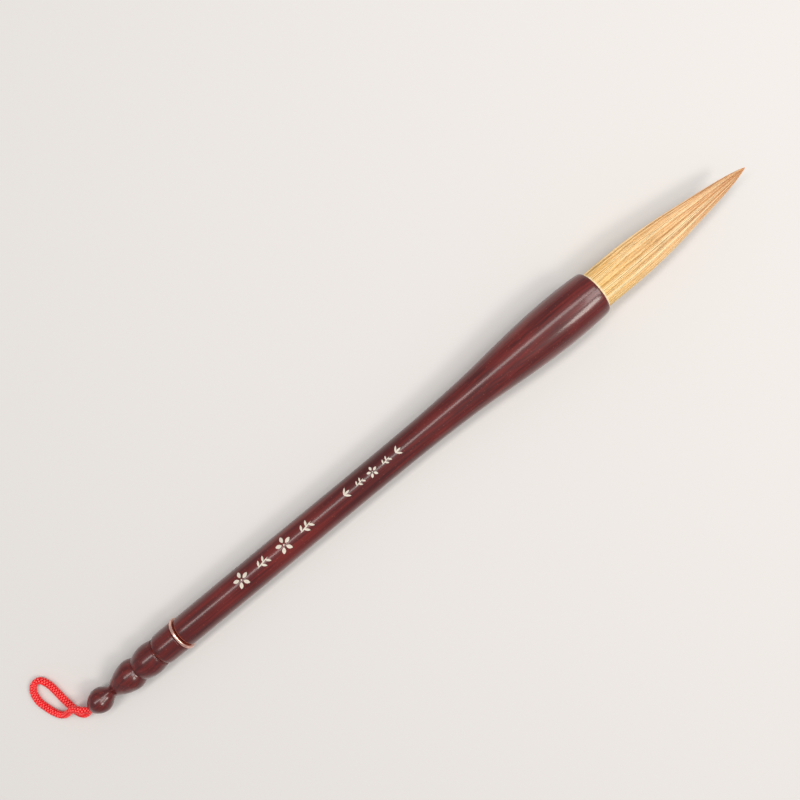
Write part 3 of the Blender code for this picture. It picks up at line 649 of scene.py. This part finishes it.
    # the strand's place in the model: so far along the brush, across it and up from its axis
    sine = addNode(tree, calc, {"operation": "SINE"}, links={0: angle}).outputs[0]
    cosine = addNode(tree, calc, {"operation": "COSINE"}, links={0: angle}).outputs[0]
    sideways = addNode(tree, calc, {"operation": "MULTIPLY"}, links={0: reach, 1: sine}).outputs[0]
    upwards = addNode(tree, calc, {"operation": "MULTIPLY"}, links={0: reach, 1: cosine}).outputs[0]
    place = addNode(tree, "ShaderNodeCombineXYZ", values={k: knobEnd[k] for k in range(3)}).outputs[0]
    for direction, amount in ((alongBrush, along), (acrossBrush, sideways), (upBrush, upwards)):
        part = addNode(tree, vector, {"operation": "SCALE"}, {0: tuple(direction)},
                       {"Scale": amount}).outputs[0]
        place = addNode(tree, vector, {"operation": "ADD"}, links={0: place, 1: part}).outputs[0]
    # strands that end before this stretch are left out
    gone = addNode(tree, "FunctionNodeCompare", {"data_type": "FLOAT", "operation": "LESS_THAN"},
                   {1: hair["shortest"] * mm}, {0: span})
    kept = addNode(tree, "GeometryNodeDeleteGeometry", {"domain": "CURVE"},
                   links={"Geometry": copies.outputs[0], "Selection": gone.outputs[0]}).outputs[0]
    # tones by strand and by cluster, and the place along the tuft, for the finish
    clusterChance = addNode(tree, "FunctionNodeRandomValue", {"data_type": "FLOAT"},
                            links={"ID": nearest, "Seed": given["Seed"]})
    mixedTone = addNode(tree, "ShaderNodeMix", {"data_type": "FLOAT"}, {0: hair["clusterTone"]},
                        {2: chance[3], 3: clusterChance.outputs[1]}).outputs[0]
    tone = addNode(tree, "GeometryNodeStoreNamedAttribute", {"data_type": "FLOAT", "domain": "POINT"},
                   {"Name": "strandTone"}, {"Geometry": kept, "Value": mixedTone}).outputs[0]
    marked = addNode(tree, "GeometryNodeStoreNamedAttribute", {"data_type": "FLOAT", "domain": "POINT"},
                     {"Name": "alongHair"}, {"Geometry": tone, "Value": at.outputs[0]}).outputs[0]
    # thinner towards its own end
    left = addNode(tree, calc, {"operation": "SUBTRACT"}, links={0: own, 1: along}).outputs[0]
    taper = addNode(tree, "ShaderNodeMapRange",
                    values={"From Min": 0, "From Max": hair["taper"] * mm,
                            "To Min": hair["endShare"], "To Max": 1.0},
                    links={"Value": left}).outputs[0]
    vary = addNode(tree, "ShaderNodeMapRange", values={"To Min": 0.7, "To Max": 1.25},
                   links={"Value": chance[4]}).outputs[0]
    thin = addNode(tree, calc, {"operation": "MULTIPLY"}, links={0: taper, 1: vary}).outputs[0]
    thick = addNode(tree, calc, {"operation": "MULTIPLY"},
                    links={0: thin, 1: given["Strand Radius"]}).outputs[0]
    sized = addNode(tree, "GeometryNodeSetCurveRadius", links={"Curve": marked, "Radius": thick}).outputs[0]
    moved = addNode(tree, "GeometryNodeSetPosition", links={"Geometry": sized, "Position": place}).outputs[0]
    ring = addNode(tree, "GeometryNodeCurvePrimitiveCircle", values={"Radius": 1.0},
                   links={"Resolution": given["Sides"]})
    size = addNode(tree, "GeometryNodeInputRadius").outputs[0]
    tubes = addNode(tree, "GeometryNodeCurveToMesh", values={"Fill Caps": True},
                    links={"Curve": moved, "Profile Curve": ring.outputs[0], "Scale": size}).outputs[0]
    smooth = addNode(tree, "GeometryNodeSetShadeSmooth", links={"Geometry": tubes}).outputs[0]
    joined = addNode(tree, "GeometryNodeJoinGeometry")
    tree.links.new(given["Geometry"], joined.inputs[0])
    tree.links.new(smooth, joined.inputs[0])
    real = addNode(tree, "GeometryNodeRealizeInstances", links={"Geometry": joined.outputs[0]}).outputs[0]
    painted = addNode(tree, "GeometryNodeSetMaterial",
                      links={"Geometry": real, "Material": given["Material"]}).outputs[0]
    addNode(tree, "NodeGroupOutput", links={"Hair": painted})
    return tree


def combedHair():
    # Silky dry hair: gold at the root and orange at the tip, in fine pale and dark strands.
    material, tree, shader = newMaterial("weasel hair, combed")
    along = addNode(tree, "ShaderNodeAttribute", {"attribute_name": "alongHair"}).outputs["Fac"]
    tone = addNode(tree, "ShaderNodeAttribute", {"attribute_name": "strandTone"}).outputs["Fac"]
    # stops are shares of the tuft's length from its root
    ramp = addNode(tree, "ShaderNodeValToRGB", links={"Fac": along},
                   stops=[(0.2, hair["root"]), (0.42, hair["belly"]), (0.68, hair["waist"]),
                          (0.95, hair["point"])])
    light = addNode(tree, "ShaderNodeMapRange", values={"From Min": 0.5, "From Max": 0.8, "To Max": 0.75},
                    links={"Value": tone})
    paler = addNode(tree, "ShaderNodeMix", {"data_type": "RGBA"}, {7: linearColour(hair["light"])},
                    {0: light.outputs[0], 6: ramp.outputs[0]})
    shade = addNode(tree, "ShaderNodeMapRange", values={"From Min": 0.4, "From Max": 0.12, "To Max": 0.75},
                    links={"Value": tone})
    darker = addNode(tree, "ShaderNodeMix", {"data_type": "RGBA"}, {7: linearColour(hair["dark"])},
                     {0: shade.outputs[0], 6: paler.outputs[2]})
    # the hair is paler where it leaves the mouth, in a line under a millimetre long
    clear = addNode(tree, "ShaderNodeMapRange",
                    values={"From Min": hair["mouthLine"][1], "From Max": hair["mouthLine"][0]},
                    links={"Value": along})
    mouth = addNode(tree, "ShaderNodeMix", {"data_type": "RGBA"}, {7: linearColour(hair["mouth"])},
                    {0: clear.outputs[0], 6: darker.outputs[2]})
    tree.links.new(mouth.outputs[2], shader.inputs["Base Color"])
    shader.inputs["Roughness"].default_value = hair["roughness"]
    shader.inputs["Specular IOR Level"].default_value = 0.35
    return material


def radiusAt(outline, along):
    # an outline's radius in mm at a place along it
    for (a, radiusA), (b, radiusB) in zip(outline, outline[1:]):
        if a != b and min(a, b) <= along <= max(a, b):
            return radiusA + (radiusB - radiusA) * (along - a) / (b - a)


def makeHair():
    tree, finish = hairTree(), combedHair()
    for name, start, end, bodyA, bodyB, bendStart, bendEnd, segments, nodes in hairStretches:
        # a solid underlayer, so that nothing shows between the strands
        steps = [start + (end - start) * k / 24 for k in range(25)]
        corners = [start, *[along for along, _ in tuftOutline if start < along < end], end]
        side = [(along, radiusAt(tuftOutline, along) * hair["underlayer"])
                for along in sorted({*corners, *steps}, reverse=True)]
        under = turnedPiece(name, [(side[0][0], 0), *side, (side[-1][0], 0)], finish, 96)
        distances = [(v.co - knobEnd).dot(alongBrush) / mm for v in under.data.vertices]
        # the underlayer takes a darker tone than most strands, painted shade for the hair deeper in the tuft
        for label, values in (("strandTone", [0.3] * len(distances)),
                              ("alongHair", [(distance - tuftStart) / tuftLength for distance in distances])):
            under.data.attributes.new(label, "FLOAT", "POINT").data.foreach_set("value", values)
        piece = runTree(name, under, tree, {
            "Strands": hair["strands"], "Seed": hair["seed"], "Segments": segments, "Sides": hair["sides"],
            "Clusters": hair["clusters"], "From": start * mm, "To": end * mm, "Tip": hair["tip"] * mm,
            "Cut Back": hair["cutBack"] * mm, "Strand Radius": hair["strandRadius"] * mm,
            "Layer": hair["layer"], "Clumping": hair["clumping"], "Wander": hair["wander"],
            "Material": finish,
        })
        print(name, len(piece.data.polygons), "faces")
        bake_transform(piece)
        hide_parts(*nodes)


makeHair()
print("hair combed")


# Marks on the shaft: white paint in a plain leaf-and-blossom band.
marks = {
    "paint": "#dcd8cc", "shade": "#b5ac9c", "crumbs": 1400,  # a metre
    "proud": 0.03, "rooted": -0.15,  # mm above the lacquer, and into it
    "turn": 14.0, "points": 9,  # degrees round the shaft from its top, and points along a petal
    # mm from the knob's end, size in mm, kind
    "row": [(70.0, 6.4, "blossom"), (79.2, 6.2, "sprig"), (88.6, 6.6, "blossom"), (98.0, 6.4, "sprig"),
            (116.0, 4.2, "leaf"), (121.6, 4.4, "sprig"), (127.2, 4.4, "blossom"), (133.0, 4.4, "sprig"),
            (138.4, 4.0, "leaf")],
}


def petal(centre, angle, length, width):
    # rows of (along, round) points in mm across a pointed leaf that starts at the centre given
    rows = []
    for k in range(marks["points"]):
        t = 0.02 + 0.96 * k / (marks["points"] - 1)
        half = width / 2 * math.sin(math.pi * t) ** 0.8
        rows.append([(centre[0] + length * t * math.cos(angle) - across * math.sin(angle),
                      centre[1] + length * t * math.sin(angle) + across * math.cos(angle))
                     for across in (half, half / 3, -half / 3, -half)])
    return rows


def markStrokes(kind, size):
    # lengths are shares of the mark's size, and angles are in radians from the brush's own direction
    strokes = []
    if kind == "blossom":
        for k in range(5):
            angle = 2 * math.pi * k / 5 + 0.3
            start = (0.12 * size * math.cos(angle), 0.12 * size * math.sin(angle))
            strokes.append(petal(start, angle, 0.36 * size, 0.2 * size))
        strokes.append(petal((-0.05 * size, -0.02 * size), 0.4, 0.1 * size, 0.09 * size))
    if kind == "sprig":
        strokes.append(petal((-0.42 * size, -0.1 * size), 0.2, 0.86 * size, 0.075 * size))
        for k, side in enumerate((1, -1, 1, -1)):
            start = (-0.3 * size + 0.17 * size * k, -0.07 * size + 0.035 * size * k)
            strokes.append(petal(start, 0.2 + side * 1.0, 0.36 * size, 0.13 * size))
    if kind == "leaf":
        for turn in (-0.7, 0.1, 0.9):
            strokes.append(petal((-0.3 * size, 0), turn, 0.62 * size, 0.17 * size))
    return strokes


def whitePaint():
    # Matte off-white, patchy and a little crumbly.
    material, tree, shader = newMaterial("oil paint, rubbed into carving")
    place = addNode(tree, "ShaderNodeTexCoord").outputs["Object"]
    patchy = addNode(tree, "ShaderNodeTexNoise", values={"Scale": marks["crumbs"], "Detail": 3},
                     links={"Vector": place})
    colour = addNode(tree, "ShaderNodeMix", {"data_type": "RGBA"},
                     {6: linearColour(marks["shade"]), 7: linearColour(marks["paint"])},
                     {0: patchy.outputs[0]})
    tree.links.new(colour.outputs[2], shader.inputs["Base Color"])
    crumb = addNode(tree, "ShaderNodeBump", values={"Strength": 0.3, "Distance": 0.00003},
                    links={"Height": patchy.outputs[0]})
    tree.links.new(crumb.outputs[0], shader.inputs["Normal"])
    shader.inputs["Roughness"].default_value = 0.6
    return material


def makeMarks():
    vertices, faces = [], []
    for where, size, kind in marks["row"]:
        ground = radiusAt(shaftOutline, where)
        for stroke in markStrokes(kind, size):
            first, wide = len(vertices), len(stroke[0])
            for lift in (marks["rooted"], marks["proud"]):
                for along, around in (point for row in stroke for point in row):
                    turn = math.radians(marks["turn"]) + around / ground
                    radius = ground + lift
                    vertices.append(onBrush(where + along, radius * math.sin(turn), radius * math.cos(turn)))
            count = wide * len(stroke)
            for i in range(len(stroke) - 1):
                for j in range(wide - 1):
                    low = first + i * wide + j
                    faces.append([low, low + wide, low + wide + 1, low + 1])
                    faces.append([count + v for v in (low, low + 1, low + wide + 1, low + wide)])
            # once round the edge, to close the sides
            edge = [*range(wide)] + [i * wide + wide - 1 for i in range(1, len(stroke))]
            edge += [count - wide + j for j in reversed(range(wide - 1))]
            edge += [i * wide for i in reversed(range(1, len(stroke) - 1))]
            for a, b in zip(edge, edge[1:] + edge[:1]):
                faces.append([first + a, first + b, first + count + b, first + count + a])
    mesh = bpy.data.meshes.new("carvedMarks")
    mesh.from_pydata(vertices, [], faces)
    mesh.update()
    mesh.materials.append(whitePaint())
    piece = bpy.data.objects.new("carvedMarks", mesh)
    scene.collection.objects.link(piece)
    keep(piece, "handle", "dark_red_lacquered_wood")


makeMarks()
print("marks painted")


# Hidden in the handle: glue and rosin dry glossy and cloudy, brown to amber, and waxed thread is a dull red.
def hiddenFinish(name, colour, darker, scale, roughness):
    material, tree, shader = newMaterial(name)
    place = addNode(tree, "ShaderNodeTexCoord").outputs["Object"]
    cloud = addNode(tree, "ShaderNodeTexNoise", values={"Scale": scale, "Detail": 3}, links={"Vector": place})
    mixed = addNode(tree, "ShaderNodeMix", {"data_type": "RGBA"},
                    {6: linearColour(darker), 7: linearColour(colour)}, {0: cloud.outputs[0]})
    tree.links.new(mixed.outputs[2], shader.inputs["Base Color"])
    shader.inputs["Roughness"].default_value = roughness
    return material


for names, finish in (
    (["cup_glue", "cord_glue"], hiddenFinish("hide glue, dried", "#a8743a", "#6e4420", 600, 0.3)),
    (["root_seal"], hiddenFinish("pine rosin, melted", "#c07a2c", "#7c4a18", 400, 0.25)),
    (["root_binding"], hiddenFinish("linen thread, waxed", "#b8402e", "#7e241c", 3000, 0.6)),
):
    for name in names:
        node = frame["nodes"][name]
        node.data.materials.clear()
        node.data.materials.append(finish)
print("hidden pieces finished")


# Floor and light.
studio = {
    # the floor's colour and half its width in m, and the light from all round
    "floor": "#cbcac8", "floorHalf": 6.0, "air": "#e6e7ea", "airStrength": 0.5,
    # place, aim, size in m, power in W, colour
    "lights": [
        ("overhead", (0.0, 0.3, 1.0), (0, 0, 0), (1.5, 0.2), 6.6, "#fffaf6"),
        ("tipSide", (0.6, -0.1, 0.85), (-0.1, 0, 0), (0.42, 0.5), 4.4, "#fffaf6"),
        ("key", (0.45, -0.62, 0.95), (0, 0, 0), (0.36, 0.3), 5.2, "#fff6ee"),
    ],
}


def makeStudio():
    mesh = bpy.data.meshes.new("floor")
    half = studio["floorHalf"]
    corners = [(x * half, y * half, 0) for x, y in ((-1, -1), (1, -1), (1, 1), (-1, 1))]
    mesh.from_pydata(corners, [], [(0, 1, 2, 3)])
    # Uncoated paper: pale, even and dull.
    material, tree, shader = newMaterial("paper, matte")
    shader.inputs["Base Color"].default_value = linearColour(studio["floor"])
    shader.inputs["Roughness"].default_value = 1.0
    shader.inputs["Specular IOR Level"].default_value = 0.05
    mesh.materials.append(material)
    floor = bpy.data.objects.new("floor", mesh)
    scene.collection.objects.link(floor)
    for name, place, aim, size, power, colour in studio["lights"]:
        data = bpy.data.lights.new(name, "AREA")
        data.shape, data.size, data.size_y, data.energy = "RECTANGLE", size[0], size[1], power
        data.color = linearColour(colour)[:3]
        light = bpy.data.objects.new(name, data)
        scene.collection.objects.link(light)
        light.location = place
        light.rotation_euler = (Vector(aim) - Vector(place)).to_track_quat("-Z", "Y").to_euler()
    world = bpy.data.worlds.new("studio")
    scene.world = world
    world.use_nodes = True
    sky = world.node_tree.nodes["Background"]
    sky.inputs[0].default_value = linearColour(studio["air"])
    sky.inputs[1].default_value = studio["airStrength"]


makeStudio()
scene.view_settings.view_transform = "Standard"
print("studio lit")
